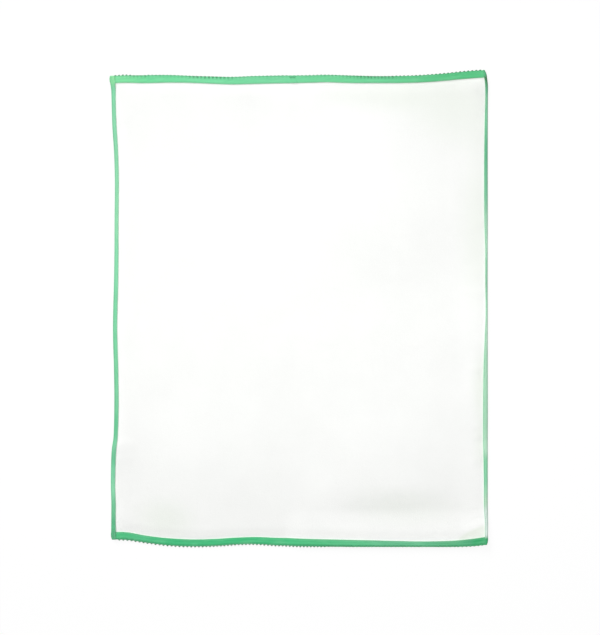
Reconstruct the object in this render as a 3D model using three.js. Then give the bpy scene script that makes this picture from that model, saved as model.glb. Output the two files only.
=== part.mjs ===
// A baby bath towel laid out flat: one rectangle of white towel cloth, bound on all four edges with
// mint-green tape. Along the top and bottom the tape lies flat on the face, with a picot edging of
// small loops beyond it. Along the left and right the tape is folded over the edge, so that a part
// of its width shows on the face and the rest lies under the cloth.
//
// Millimetres. +X right, +Y towards the top edge, +Z up. The origin is on the surface that the towel
// lies on, under the middle of its outline.
//
// Each piece is first placed on the cut pattern, a plain rectangle, at points (s, t, z): s across,
// t along, z above the surface. lay() then moves every point to where the cloth lies, with its bowed
// edges, lifted hems, swells and folds.

import * as THREE from 'three';

// ---- Driving dimensions ----

const WIDTH = 600;          // of the cut pattern, outer edge to outer edge of the side tapes
const LENGTH = 750;         // of the cut pattern, outer edge to outer edge of the end tapes
const CLOTH = 2.0;          // thickness of the cloth, pile included
const PRESSED = 1.2;        // thickness of the cloth where tape is sewn down on it
const TAPE = 0.9;           // thickness of the tape, with its edges turned in
const GAP = 0.35;           // clearance between pieces
const SIDE_LEGS = 14.4;     // both legs of a side tape together, on the face and under the cloth
const SIDE_CUT = 2.1;       // cut edge of the cloth, in from the fold of a side tape
const END_CUT = 1.0;        // cut edge of the cloth, in from the outer edge of an end tape
const FOLD_WALL = 1.7;      // tape at the fold of a side tape, where it is doubled and rolled
const PRESS_START = 0.4;    // from the inner edge of a tape to where the pressed cloth ends
const PRESS_END = 1.8;      // from there on the cloth has its whole thickness again
const LEG_CLEAR = 0.4;      // from the inner edge of an under leg on, the cloth comes down
const LANDING = 36;         // and this much further in it is down on the surface
const RIDE = TAPE + GAP;    // height of the cloth over the under leg of a side tape
const TAPE_SEAT = PRESSED + GAP; // height of an end tape over the underside of the cloth
const GRID_STEP = 39;       // longest step between the sections of the cloth

const LAP = { from: -12.5, to: -3, ramp: 0.9, height: 0.6 }; // where the ends of the top tape overlap
const PICOT = { pitch: 6.4, reach: 1.1, valley: 0.4, thick: 0.8, clear: 0.6 };

// How far the left and right edges stand out from the pattern, the width of each tape on the face,
// and how high each edge is off the surface. One row for each bend, from bottom to top.
const SIDES = [
  { t: -375, left: -1.5, leftFace: 7.4, right: -3.6, rightFace: 5.0, leftLift: 0.6, rightLift: 1.6 },
  { t: -345, left: -1.5, leftFace: 7.0, right: -2.5, rightFace: 5.1, leftLift: 0.8, rightLift: 1.5 },
  { t: -318, left: -1.5, leftFace: 7.0, right: -2.6, rightFace: 6.4, leftLift: 0.2, rightLift: 0.9 },
  { t: -286, left: -0.7, leftFace: 6.9, right: -2.6, rightFace: 6.3, leftLift: 0.3, rightLift: 0.4 },
  { t: -247, left: -1.5, leftFace: 7.1, right: -2.6, rightFace: 6.8, leftLift: 1.4, rightLift: 0.6 },
  { t: -228, left: -2.7, leftFace: 7.1, right: -2.7, rightFace: 7.4, leftLift: 2.2, rightLift: 0.9 },
  { t: -208, left: -5.2, leftFace: 6.7, right: -2.6, rightFace: 7.8, leftLift: 1.2, rightLift: 0.4 },
  { t: -150, left: -6.3, leftFace: 7.0, right: -2.6, rightFace: 7.8, leftLift: 0.7, rightLift: 1.4 },
  { t: -100, left: -5.6, leftFace: 6.8, right: -2.6, rightFace: 7.2, leftLift: 0.0, rightLift: 0.8 },
  { t: -45, left: -4.2, leftFace: 6.8, right: -2.8, rightFace: 4.9, leftLift: 0.5, rightLift: 1.6 },
  { t: -10, left: -4.3, leftFace: 6.7, right: -2.8, rightFace: 3.6, leftLift: 0.0, rightLift: 1.7 },
  { t: 40, left: -5.6, leftFace: 6.8, right: -2.9, rightFace: 3.9, leftLift: 0.3, rightLift: 1.1 },
  { t: 90, left: -6.5, leftFace: 6.5, right: -2.7, rightFace: 4.2, leftLift: 0.8, rightLift: 0.5 },
  { t: 140, left: -6.6, leftFace: 6.4, right: -2.5, rightFace: 5.9, leftLift: 0.4, rightLift: 0.3 },
  { t: 200, left: -7.1, leftFace: 6.3, right: -2.6, rightFace: 6.1, leftLift: 0.0, rightLift: 0.3 },
  { t: 250, left: -5.9, leftFace: 6.5, right: -2.6, rightFace: 5.8, leftLift: 0.4, rightLift: 0.1 },
  { t: 297, left: -3.0, leftFace: 6.6, right: -2.5, rightFace: 5.1, leftLift: 0.5, rightLift: 0.2 },
  { t: 335, left: -1.9, leftFace: 6.6, right: -2.5, rightFace: 4.4, leftLift: 0.2, rightLift: 1.0 },
  { t: 354, left: -1.2, leftFace: 7.2, right: -2.9, rightFace: 4.7, leftLift: 0.0, rightLift: 1.6 },
  { t: 375, left: 1.9, leftFace: 8.6, right: -6.8, rightFace: 4.4, leftLift: 0.0, rightLift: 1.0 },
];

// The same for the top and bottom edges, one row for each bend, from left to right.
const ENDS = [
  { s: -300, top: -5.0, topFace: 11.9, bottom: -12.0, bottomFace: 12.4, topLift: 0.5, bottomLift: 0.6 },
  { s: -275, top: -3.8, topFace: 12.0, bottom: -11.1, bottomFace: 12.4, topLift: 0.2, bottomLift: 0.2 },
  { s: -244, top: -3.5, topFace: 12.7, bottom: -6.5, bottomFace: 11.3, topLift: 0.5, bottomLift: 0.3 },
  { s: -206, top: -3.2, topFace: 12.0, bottom: -2.2, bottomFace: 11.2, topLift: 0.4, bottomLift: 0.4 },
  { s: -168, top: -4.5, topFace: 11.0, bottom: -0.7, bottomFace: 11.0, topLift: 0.0, bottomLift: 0.0 },
  { s: -130, top: -5.6, topFace: 11.7, bottom: -1.8, bottomFace: 11.1, topLift: 0.4, bottomLift: 0.2 },
  { s: -103, top: -6.3, topFace: 11.9, bottom: -3.8, bottomFace: 10.8, topLift: 0.7, bottomLift: 0.4 },
  { s: -72, top: -4.9, topFace: 12.4, bottom: -4.4, bottomFace: 11.2, topLift: 0.2, bottomLift: 0.0 },
  { s: -35, top: -4.2, topFace: 12.2, bottom: -2.3, bottomFace: 11.9, topLift: 0.0, bottomLift: 0.0 },
  { s: -20, top: -4.1, topFace: 12.2, bottom: -2.0, bottomFace: 12.0, topLift: 0.1, bottomLift: 0.2 },
  { s: -7, top: -4.2, topFace: 12.1, bottom: -1.7, bottomFace: 12.0, topLift: 0.3, bottomLift: 2.3 },
  { s: 22, top: -4.2, topFace: 11.6, bottom: -1.2, bottomFace: 11.6, topLift: 0.6, bottomLift: 2.8 },
  { s: 45, top: -3.6, topFace: 11.6, bottom: -0.7, bottomFace: 11.7, topLift: 0.4, bottomLift: 3.0 },
  { s: 82, top: -4.7, topFace: 12.0, bottom: -0.5, bottomFace: 11.2, topLift: 0.2, bottomLift: 3.5 },
  { s: 120, top: -5.9, topFace: 11.1, bottom: -0.5, bottomFace: 10.5, topLift: 0.0, bottomLift: 3.8 },
  { s: 158, top: -5.9, topFace: 11.1, bottom: -0.5, bottomFace: 9.5, topLift: 0.2, bottomLift: 4.0 },
  { s: 193, top: -4.9, topFace: 11.2, bottom: -0.5, bottomFace: 8.9, topLift: 0.3, bottomLift: 4.0 },
  { s: 235, top: -1.6, topFace: 11.2, bottom: -0.5, bottomFace: 9.5, topLift: 0.3, bottomLift: 4.0 },
  { s: 254, top: 0.4, topFace: 11.3, bottom: -0.8, bottomFace: 10.1, topLift: 0.9, bottomLift: 4.0 },
  { s: 275, top: 2.3, topFace: 11.5, bottom: -1.9, bottomFace: 11.5, topLift: 1.2, bottomLift: 4.0 },
  { s: 300, top: 4.0, topFace: 11.7, bottom: -4.8, bottomFace: 12.4, topLift: 1.4, bottomLift: 4.0 },
];

const SIDE_REACH = 48;      // how far in from a side edge its lift carries
const END_REACH = 57;       // how far in from the top or bottom edge its lift carries
const LIFT_CURVE = 1.2;     // 1 is a straight slope with a sharp valley, 2 a soft one

// Swells of the cloth: middle, half length, half width, turn in degrees and height.
const SWELLS = [
  { s: -130, t: -235, long: 165, wide: 120, turn: -5, height: 1.6 },
];

// Folds: the ends of a valley line, how far the crest is to its left and how far it falls beyond, the
// height of the crest, and the shares of the line over which it rises and fades.
const FOLDS = [
  { s: -11, t: -325, toS: 292, toT: -317, steep: 48, gentle: 190, height: 2.6, rise: 0.4, fade: 0.45 },
  { s: 303, t: 20, toS: 303, toT: 520, steep: 140, gentle: 240, height: 5.2, rise: 0.3, fade: 0.2 },
];

// ---- The lie of the cloth ----

// One column of a table at a place between its rows, on a smooth curve through them.
function between(table, key, column, place) {
  const last = table.length - 1;
  const at = THREE.MathUtils.clamp(place, table[0][key], table[last][key]);
  let row = 0;
  while (row < last - 1 && at > table[row + 1][key]) {
    row += 1;
  }
  const slope = (index) => {
    const before = table[Math.max(index - 1, 0)];
    const after = table[Math.min(index + 1, last)];
    return (after[column] - before[column]) / (after[key] - before[key]);
  };
  const from = table[row];
  const to = table[row + 1];
  const span = to[key] - from[key];
  const f = (at - from[key]) / span;
  const rise = f * f * (3 - 2 * f);
  const leave = f * (1 - f) * (1 - f) * span * slope(row);
  const arrive = f * f * (f - 1) * span * slope(row + 1);
  return from[column] + (to[column] - from[column]) * rise + leave + arrive;
}

// How much of an edge's lift is left at a distance in from it.
function carried(distance, reach) {
  return distance >= reach ? 0 : (1 - distance / reach) ** LIFT_CURVE;
}

function edgeLift(table, key, column, place, distance, reach) {
  return Math.max(between(table, key, column, place), 0) * carried(distance, reach);
}

function swellHeight(swell, s, t) {
  const turn = THREE.MathUtils.degToRad(swell.turn);
  const across = s - swell.s;
  const along = t - swell.t;
  const u = (across * Math.cos(turn) + along * Math.sin(turn)) / swell.long;
  const v = (along * Math.cos(turn) - across * Math.sin(turn)) / swell.wide;
  const inside = Math.max(1 - u * u - v * v, 0);
  return swell.height * inside * inside;
}

// A smooth step from 0 to 1.
function ease(share) {
  const f = THREE.MathUtils.clamp(share, 0, 1);
  return f * f * (3 - 2 * f);
}

function foldHeight(fold, s, t) {
  const valley = new THREE.Vector2(fold.toS - fold.s, fold.toT - fold.t);
  const point = new THREE.Vector2(s - fold.s, t - fold.t);
  const share = point.dot(valley) / valley.lengthSq();
  const off = Math.max(valley.cross(point) / valley.length(), 0);
  const ends = ease(share / fold.rise) * ease((1 - share) / fold.fade);
  const crest = Math.sin((Math.PI / 2) * Math.min(off / fold.steep, 1));
  return fold.height * ends * crest * ease(1 - (off - fold.steep) / fold.gentle);
}

function lift(s, t) {
  const left = edgeLift(SIDES, 't', 'leftLift', t, WIDTH / 2 + s, SIDE_REACH);
  const right = edgeLift(SIDES, 't', 'rightLift', t, WIDTH / 2 - s, SIDE_REACH);
  const bottom = edgeLift(ENDS, 's', 'bottomLift', s, LENGTH / 2 + t, END_REACH);
  const top = edgeLift(ENDS, 's', 'topLift', s, LENGTH / 2 - t, END_REACH);
  const swells = SWELLS.reduce((sum, swell) => sum + swellHeight(swell, s, t), 0);
  const folds = FOLDS.reduce((sum, fold) => sum + foldHeight(fold, s, t), 0);
  return Math.max(left, right) + Math.max(bottom, top) + swells + folds;
}

// A point of the cut pattern where it lies.
function lay(s, t, z) {
  const across = s / WIDTH + 0.5;
  const along = t / LENGTH + 0.5;
  const x = s - between(SIDES, 't', 'left', t) * (1 - across) + between(SIDES, 't', 'right', t) * across;
  const y = t - between(ENDS, 's', 'bottom', s) * (1 - along) + between(ENDS, 's', 'top', s) * along;
  return [x, y, z + lift(s, t)];
}

// The rows of a table that are within a limit of the middle, with long steps divided evenly.
function sections(table, key, limit) {
  const rows = table.map((row) => row[key]).filter((place) => Math.abs(place) <= limit);
  const places = [rows[0]];
  for (let i = 1; i < rows.length; i += 1) {
    const step = rows[i] - rows[i - 1];
    const parts = Math.ceil(step / GRID_STEP);
    for (let part = 1; part <= parts; part += 1) {
      places.push(rows[i - 1] + (step * part) / parts);
    }
  }
  return places;
}

const COLUMNS = sections(ENDS, 's', WIDTH / 2 - 25);
const ROWS = sections(SIDES, 't', LENGTH / 2 - 20);

// Width of a side tape on the face. side is -1 on the left and 1 on the right.
function sideFace(side, t) {
  return between(SIDES, 't', side < 0 ? 'leftFace' : 'rightFace', t);
}

// Width of an end tape. end is -1 at the bottom and 1 at the top.
function endFace(end, s) {
  return between(ENDS, 's', end < 0 ? 'bottomFace' : 'topFace', s);
}

// How far in from a side edge the cloth starts to come down from the tape.
function shoulder(side, t) {
  const face = sideFace(side, t);
  return Math.max(face + PRESS_END, SIDE_LEGS - face + LEG_CLEAR);
}

// Height of the cloth before any lift: up on the under leg of a side tape, then down to the surface.
function rideAt(s, t) {
  const inset = WIDTH / 2 - Math.abs(s);
  const slope = (shoulder(Math.sign(s), t) + LANDING - inset) / LANDING;
  return RIDE * THREE.MathUtils.clamp(slope, 0, 1);
}

// Where the sections of the cloth and of an end tape cross a row: those at a side tape, then COLUMNS.
function columnsAt(t) {
  const insets = (side) => [SIDE_CUT, sideFace(side, t) + PRESS_START, shoulder(side, t)];
  const left = insets(-1).map((inset) => inset - WIDTH / 2);
  const right = insets(1).map((inset) => WIDTH / 2 - inset);
  return [...left, ...COLUMNS, ...right.reverse()];
}

// ---- Making a solid ----

// A mesh of loose triangles on the given corners, turned so that its faces point out.
function solid(name, corners, triangles, finish) {
  const corner = (index) => new THREE.Vector3(...corners[index]);
  const volume = triangles.reduce((sum, [a, b, c]) => sum + corner(a).dot(corner(b).cross(corner(c))), 0);
  const faces = volume < 0 ? triangles.map(([a, b, c]) => [a, c, b]) : triangles;
  const geometry = new THREE.BufferGeometry();
  geometry.setAttribute('position', new THREE.Float32BufferAttribute(corners.flat(), 3));
  geometry.setIndex(faces.flat());
  geometry.computeVertexNormals();
  const mesh = new THREE.Mesh(geometry, new THREE.MeshStandardMaterial(finish));
  mesh.name = name;
  return mesh;
}

// A solid through rings of corners, one after the other, closed at both ends. Every ring has the
// same number of corners, and outline is a flat drawing of them that the end faces are cut from.
function loft(name, rings, outline, finish) {
  const size = outline.length;
  const triangles = [];
  for (let ring = 0; ring < rings.length - 1; ring += 1) {
    for (let i = 0; i < size; i += 1) {
      const a = ring * size + i;
      const b = ring * size + ((i + 1) % size);
      triangles.push([a, b, b + size], [a, b + size, a + size]);
    }
  }
  const far = (rings.length - 1) * size;
  const flat = outline.map(([u, v]) => new THREE.Vector2(u, v));
  const clockwise = THREE.ShapeUtils.isClockWise(flat);
  for (const face of THREE.ShapeUtils.triangulateShape(flat, [])) {
    const turned = THREE.ShapeUtils.isClockWise(face.map((index) => flat[index])) !== clockwise;
    const [a, b, c] = turned ? face.reverse() : face;
    triangles.push([a, c, b], [a + far, b + far, c + far]);
  }
  return solid(name, rings.flat(), triangles, finish);
}

// ---- The pieces ----

const CLOTH_FINISH = { color: '#fbfcfa', roughness: 0.95, metalness: 0 };
const TAPE_FINISH = { color: '#78d7a0', roughness: 0.75, metalness: 0 };
const PICOT_FINISH = { color: '#5cbf8a', roughness: 0.8, metalness: 0 };

// The cloth is a sheet of two grids, the face and the underside, joined all round their rims.
function towelCloth() {
  const low = -LENGTH / 2;
  const high = LENGTH / 2;
  const rows = [
    () => low + END_CUT,
    (s) => low + endFace(-1, s) + PRESS_START,
    (s) => low + endFace(-1, s) + PRESS_END,
    ...ROWS.map((t) => () => t),
    (s) => high - endFace(1, s) - PRESS_END,
    (s) => high - endFace(1, s) - PRESS_START,
    () => high - END_CUT,
  ];
  const across = columnsAt(0).length;
  const underTape = (index, count) => index < 2 || index > count - 3;
  const face = [];
  const underside = [];
  rows.forEach((rowAt, row) => {
    columnsAt(rowAt(0)).forEach((s, column) => {
      const t = rowAt(s);
      const pressed = underTape(row, rows.length) || underTape(column, across);
      const bottom = rideAt(s, t);
      underside.push(lay(s, t, bottom));
      face.push(lay(s, t, bottom + (pressed ? PRESSED : CLOTH)));
    });
  });
  const under = face.length;
  const triangles = [];
  const quad = (a, b, c, d) => triangles.push([a, b, c], [a, c, d]);
  for (let row = 0; row < rows.length - 1; row += 1) {
    for (let column = 0; column < across - 1; column += 1) {
      const a = row * across + column;
      quad(a, a + 1, a + across + 1, a + across);
      quad(under + a, under + a + across, under + a + across + 1, under + a + 1);
    }
  }
  const rim = [];
  for (let column = 0; column < across; column += 1) {
    rim.push(column);
  }
  for (let row = 1; row < rows.length; row += 1) {
    rim.push(row * across + across - 1);
  }
  for (let column = across - 2; column >= 0; column -= 1) {
    rim.push((rows.length - 1) * across + column);
  }
  for (let row = rows.length - 2; row > 0; row -= 1) {
    rim.push(row * across);
  }
  rim.forEach((here, index) => {
    const next = rim[(index + 1) % rim.length];
    quad(here, under + here, under + next, next);
  });
  return solid('towel_cloth', [...face, ...underside], triangles, CLOTH_FINISH);
}

// Section of a side tape, as [inset, height]: the under leg, the rolled fold and the leg on the
// face, around the space that holds the cloth. stack is what else lies in that space.
function sideSection(face, stack) {
  const under = SIDE_LEGS - face;
  const inner = RIDE + PRESSED + GAP + stack;
  const height = inner + TAPE;
  const roll = face / 2;
  const middle = height / 2;
  const bend = roll * (1 - Math.SQRT1_2);
  const rise = middle * Math.SQRT1_2;
  return [
    [under, 0],
    [under, TAPE],
    [FOLD_WALL, TAPE],
    [FOLD_WALL, inner],
    [face, inner],
    [face, height],
    [roll, height],
    [bend, middle + rise],
    [0, middle],
    [bend, middle - rise],
    [roll, 0],
  ];
}

// A side tape runs from end to end of the towel, over the ends of the top and bottom tapes, where
// it stands higher by the thickness of one tape.
function sideTape(name, side) {
  const low = -LENGTH / 2;
  const high = LENGTH / 2;
  const clear = 0.8;
  const settle = 4.5;
  const stack = TAPE + GAP;
  const pastBottom = low + endFace(-1, (side * WIDTH) / 2);
  const pastTop = high - endFace(1, (side * WIDTH) / 2);
  const stations = [
    { t: low, stack },
    { t: pastBottom + clear, stack },
    { t: pastBottom + settle, stack: 0 },
    ...ROWS.map((t) => ({ t, stack: 0 })),
    { t: pastTop - settle, stack: 0 },
    { t: pastTop - clear, stack },
    { t: high, stack },
  ];
  const rings = stations.map((station) => {
    const section = sideSection(sideFace(side, station.t), station.stack);
    return section.map(([inset, z]) => lay(side * (WIDTH / 2 - inset), station.t, z));
  });
  return loft(name, rings, sideSection(SIDE_LEGS / 2, 0), TAPE_FINISH);
}

// Section of an end tape, as [inset, height]: flat, with its upper edges eased.
function endSection(face, thickness) {
  const bevel = 0.35;
  return [
    [0, 0],
    [face, 0],
    [face, thickness - bevel],
    [face - bevel, thickness],
    [bevel, thickness],
    [0, thickness - bevel],
  ];
}

// An end tape lies on the face of the cloth. laps lists where its thickness changes, as
// { s, extra }.
function endTape(name, end, laps) {
  const edge = (end * LENGTH) / 2;
  const extraAt = (s) => (laps.find((lap) => lap.s === s) || { extra: 0 }).extra;
  const stations = [...columnsAt(edge), ...laps.map((lap) => lap.s)].sort((a, b) => a - b);
  const rings = stations.map((s) => {
    const section = endSection(endFace(end, s), TAPE + extraAt(s));
    return section.map(([inset, z]) => {
      const t = edge - end * inset;
      return lay(s, t, rideAt(s, t) + TAPE_SEAT + z);
    });
  });
  return loft(name, rings, endSection(endFace(end, 0), TAPE), TAPE_FINISH);
}

// A picot edging is one comb of low scallops just beyond the outer edge of an end tape, between the
// side tapes. It tapers from the tape to a thin rim.
function picotEdging(name, end) {
  const edge = (end * LENGTH) / 2;
  const start = -WIDTH / 2 + sideFace(-1, edge) + 1;
  const finish = WIDTH / 2 - sideFace(1, edge) - 1;
  const count = Math.round((finish - start) / PICOT.pitch);
  const pitch = (finish - start) / count;
  const profile = [
    { along: 0, reach: PICOT.valley },
    { along: 0.3, reach: PICOT.reach },
    { along: 0.7, reach: PICOT.reach },
  ];
  const section = (reach) => [
    [PICOT.clear, 0],
    [PICOT.clear, PICOT.thick],
    [PICOT.clear + reach, PICOT.thick / 2],
  ];
  const rings = [];
  const addRing = (s, reach) => {
    const seat = rideAt(s, edge) + TAPE_SEAT;
    rings.push(section(reach).map(([out, z]) => lay(s, edge + end * out, seat + z)));
  };
  for (let picot = 0; picot < count; picot += 1) {
    profile.forEach(({ along, reach }) => addRing(start + (picot + along) * pitch, reach));
  }
  addRing(finish, PICOT.valley);
  return loft(name, rings, section(PICOT.reach), PICOT_FINISH);
}

const TOP_LAP = [
  { s: LAP.from - LAP.ramp, extra: 0 },
  { s: LAP.from, extra: LAP.height },
  { s: LAP.to, extra: LAP.height },
  { s: LAP.to + LAP.ramp, extra: 0 },
];

// ---- The towel ----

const laid = new THREE.Group();
laid.add(
  towelCloth(),
  endTape('binding_tape_top', 1, TOP_LAP),
  endTape('binding_tape_bottom', -1, []),
  sideTape('binding_tape_left', -1),
  sideTape('binding_tape_right', 1),
  picotEdging('picot_edging_top', 1),
  picotEdging('picot_edging_bottom', -1),
);

// The origin goes under the middle of the outline.
const middle = new THREE.Box3().setFromObject(laid).getCenter(new THREE.Vector3());
laid.position.set(-middle.x, -middle.y, 0);

const towel = new THREE.Group();
towel.add(laid);

export default towel;
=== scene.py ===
"""A baby bath towel laid out flat: white towelling bound with mint-green tape, with picot edgings.

Sizes are in millimetres on the cut pattern, a plain rectangle with s across, t along and z above the
surface. lay() moves a point of the pattern to where it lies, in metres in the towel's own frame.
"""

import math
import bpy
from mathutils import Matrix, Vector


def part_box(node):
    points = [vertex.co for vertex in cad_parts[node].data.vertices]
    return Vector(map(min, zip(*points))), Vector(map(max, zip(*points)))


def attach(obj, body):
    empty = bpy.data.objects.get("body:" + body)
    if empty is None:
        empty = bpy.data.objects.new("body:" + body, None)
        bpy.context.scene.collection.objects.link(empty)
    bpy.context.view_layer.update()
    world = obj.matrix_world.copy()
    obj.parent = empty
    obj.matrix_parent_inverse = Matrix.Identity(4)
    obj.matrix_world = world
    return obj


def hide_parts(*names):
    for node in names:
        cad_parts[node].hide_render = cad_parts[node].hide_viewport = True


bl_info = {
    "name": "Bound Bath Towel",
    "version": (1, 0, 0),
    "blender": (4, 5, 0),
    "location": "3D View > Sidebar > Towel",
    "description": "Makes a bound bath towel lying flat, with tape, picot edgings and stitching",
    "category": "Add Mesh",
}

import bpy
import numpy as np
from mathutils import Vector, noise

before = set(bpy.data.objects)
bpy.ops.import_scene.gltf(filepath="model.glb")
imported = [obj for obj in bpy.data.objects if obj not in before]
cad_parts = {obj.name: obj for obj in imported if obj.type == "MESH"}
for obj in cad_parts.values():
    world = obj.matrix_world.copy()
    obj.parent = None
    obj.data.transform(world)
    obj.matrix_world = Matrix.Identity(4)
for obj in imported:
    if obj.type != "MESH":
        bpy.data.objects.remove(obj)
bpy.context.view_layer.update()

BODY = "root"
MM = 0.001

# ---- The towel's own sizes, in millimetres ----

WIDTH = 600.0           # of the cut pattern, outer edge to outer edge of the side tapes
LENGTH = 750.0          # of the cut pattern, outer edge to outer edge of the end tapes
CLOTH = 2.0             # thickness of the cloth, pile included
PRESSED = 1.2           # thickness of the cloth where tape is sewn down on it
TAPE = 0.9              # thickness of the tape, with its edges turned in
TOUCH = 0.05            # clearance between pieces that lie on each other
SIDE_LEGS = 14.4        # both legs of a side tape together, on the face and under the cloth
SIDE_CUT = 2.1          # cut edge of the cloth, in from the fold of a side tape
END_CUT = 1.0           # cut edge of the cloth, in from the outer edge of an end tape
FOLD_WALL = 1.7         # tape at the fold of a side tape, where it is doubled and rolled
LEG_CLEAR = 0.4         # from the inner edge of an under leg on, the cloth comes down
LANDING = 36.0          # and this much further in it is down on the surface
RIDE = TAPE + TOUCH     # height of the cloth over the under leg of a side tape
TAPE_SEAT = PRESSED + TOUCH
PRESS_START = 0.3       # from the inner edge of a tape to where the pile starts to rise
PRESS_END = 2.2         # from there on the cloth may come down again
PILE_RISE = 18.0        # from there on the pile has its whole thickness again
HELD_THIN = 0.45        # how much thinner the cloth is beside a side tape, where it is held down
SEAM_PUCKER = 0.16      # height of the puckers that the sewing makes beside the tapes
SEAM_REACH = 8.0        # how far in they reach, fading
SOFT_SWELL = 0.16       # height of the cloth's broad unevenness
SOFT_RIPPLE = 0.05      # and of its narrower ripples
UNDER_SHARE = 0.6       # how much of the unevenness of its face shows on its underside
STEP_PAST = 0.6         # a side tape stays up on an end tape until this far past its inner edge
STEP_RUN = 12.0         # and comes down to the cloth over this length
LAP_FROM = -12.5        # where the free end of the top tape is laid over its start
LAP_TO = -3.0           # and where the overlap stops
LAP_RAMP = 1.3          # length of the steps up and down at its ends
LAP_HEIGHT = 0.5        # how much higher the tape is there

# The tape and how it is sewn.
END_WIDTH = 12.0        # flat width of an end tape
SIDE_WIDTH = 16.0       # flat width of a side tape, both legs and the turn round the cloth
TAPE_STEP = 0.95        # between the sections of a tape
TAPE_SHORT = 0.3        # how far an end tape stops short of the cut edges of the cloth
EDGE_ROUND = 0.45       # how far in the rounding of an edge reaches
BEVEL = 0.3             # how far in its underside stops
TURNED_IN = 3.4         # width of an edge that is turned in
TURN_RUN = 0.8          # over this width more it ends
TURN_THICK = 0.16       # how much thicker it is
SEAM_INSET = 1.4        # from an edge of the tape to its stitches
SEAM_DIP = 0.14         # how deep the stitches draw an end tape down
SIDE_DIP = 0.16         # and a side tape
SEAM_SOFT = 0.7         # how far to each side of the stitches that carries
PULLED = 0.1            # height of the small ripples in the tape
ROLL = 3.4              # largest radius of the fold of a side tape


def table(names, *rows):
    """A short table as a dictionary of its named columns."""
    return dict(zip(names.split(), np.array(rows, float).T))


# How far the left and right edges stand out from the pattern, the width of each tape on the face,
# and how high each edge is off the surface. One row for each bend, from bottom to top.
SIDES = table(
    "t left left_face right right_face left_lift right_lift",
    (-375, -1.5, 7.4, -3.6, 5.0, 0.6, 1.6),
    (-345, -1.5, 7.0, -2.5, 5.1, 0.8, 1.5),
    (-318, -1.5, 7.0, -2.6, 6.4, 0.2, 0.9),
    (-286, -0.7, 6.9, -2.6, 6.3, 0.3, 0.4),
    (-247, -1.5, 7.1, -2.6, 6.8, 1.4, 0.6),
    (-228, -2.7, 7.1, -2.7, 7.4, 2.2, 0.9),
    (-208, -5.2, 6.7, -2.6, 7.8, 1.2, 0.4),
    (-150, -6.3, 7.0, -2.6, 7.8, 0.7, 1.4),
    (-100, -5.6, 6.8, -2.6, 7.2, 0.0, 0.8),
    (-45, -4.2, 6.8, -2.8, 4.9, 0.5, 1.6),
    (-10, -4.3, 6.7, -2.8, 3.6, 0.0, 1.7),
    (40, -5.6, 6.8, -2.9, 3.9, 0.3, 1.1),
    (90, -6.5, 6.5, -2.7, 4.2, 0.8, 0.5),
    (140, -6.6, 6.4, -2.5, 5.9, 0.4, 0.3),
    (200, -7.1, 6.3, -2.6, 6.1, 0.0, 0.3),
    (250, -5.9, 6.5, -2.6, 5.8, 0.4, 0.1),
    (297, -3.0, 6.6, -2.5, 5.1, 0.5, 0.2),
    (335, -1.9, 6.6, -2.5, 4.4, 0.2, 1.0),
    (354, -1.2, 7.2, -2.9, 4.7, 0.0, 1.6),
    (375, 1.9, 8.6, -6.8, 4.4, 0.0, 1.0),
)

# The same for the top and bottom edges, one row for each bend, from left to right.
ENDS = table(
    "s top top_face bottom bottom_face top_lift bottom_lift",
    (-300, -5.0, 11.9, -12.0, 12.4, 0.5, 0.6),
    (-275, -3.8, 12.0, -11.1, 12.4, 0.2, 0.2),
    (-244, -3.5, 12.7, -6.5, 11.3, 0.5, 0.3),
    (-206, -3.2, 12.0, -2.2, 11.2, 0.4, 0.4),
    (-168, -4.5, 11.0, -0.7, 11.0, 0.0, 0.0),
    (-130, -5.6, 11.7, -1.8, 11.1, 0.4, 0.2),
    (-103, -6.3, 11.9, -3.8, 10.8, 0.7, 0.4),
    (-72, -4.9, 12.4, -4.4, 11.2, 0.2, 0.0),
    (-35, -4.2, 12.2, -2.3, 11.9, 0.0, 0.0),
    (-20, -4.1, 12.2, -2.0, 12.0, 0.1, 0.2),
    (-7, -4.2, 12.1, -1.7, 12.0, 0.3, 2.3),
    (22, -4.2, 11.6, -1.2, 11.6, 0.6, 2.8),
    (45, -3.6, 11.6, -0.7, 11.7, 0.4, 3.0),
    (82, -4.7, 12.0, -0.5, 11.2, 0.2, 3.5),
    (120, -5.9, 11.1, -0.5, 10.5, 0.0, 3.8),
    (158, -5.9, 11.1, -0.5, 9.5, 0.2, 4.0),
    (193, -4.9, 11.2, -0.5, 8.9, 0.3, 4.0),
    (235, -1.6, 11.2, -0.5, 9.5, 0.3, 4.0),
    (254, 0.4, 11.3, -0.8, 10.1, 0.9, 4.0),
    (275, 2.3, 11.5, -1.9, 11.5, 1.2, 4.0),
    (300, 4.0, 11.7, -4.8, 12.4, 1.4, 4.0),
)

SIDE_REACH = 48.0       # how far in from a side edge its lift carries
END_REACH = 57.0        # how far in from the top or bottom edge its lift carries
FOLD_SOFT = 9.0         # how softly a fold turns at its valley
LIFT_CURVE = 1.2        # 1 is a straight slope with a sharp valley, 2 a soft one

# Swells of the cloth: middle, half length, half width, turn in degrees and height.
SWELLS = table(
    "s t long wide turn height",
    (-130, -235, 165, 120, -5, 1.6),
)

# Folds: the ends of a valley line, how far the crest is to its left and how far it falls beyond,
# the height of the crest, and the shares of the line over which it rises and fades.
FOLDS = table(
    "s t to_s to_t steep gentle height rise fade",
    (-11, -325, 292, -317, 48, 190, 2.6, 0.4, 0.45),
    (303, 20, 303, 520, 140, 240, 5.2, 0.3, 0.2),
)

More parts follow.
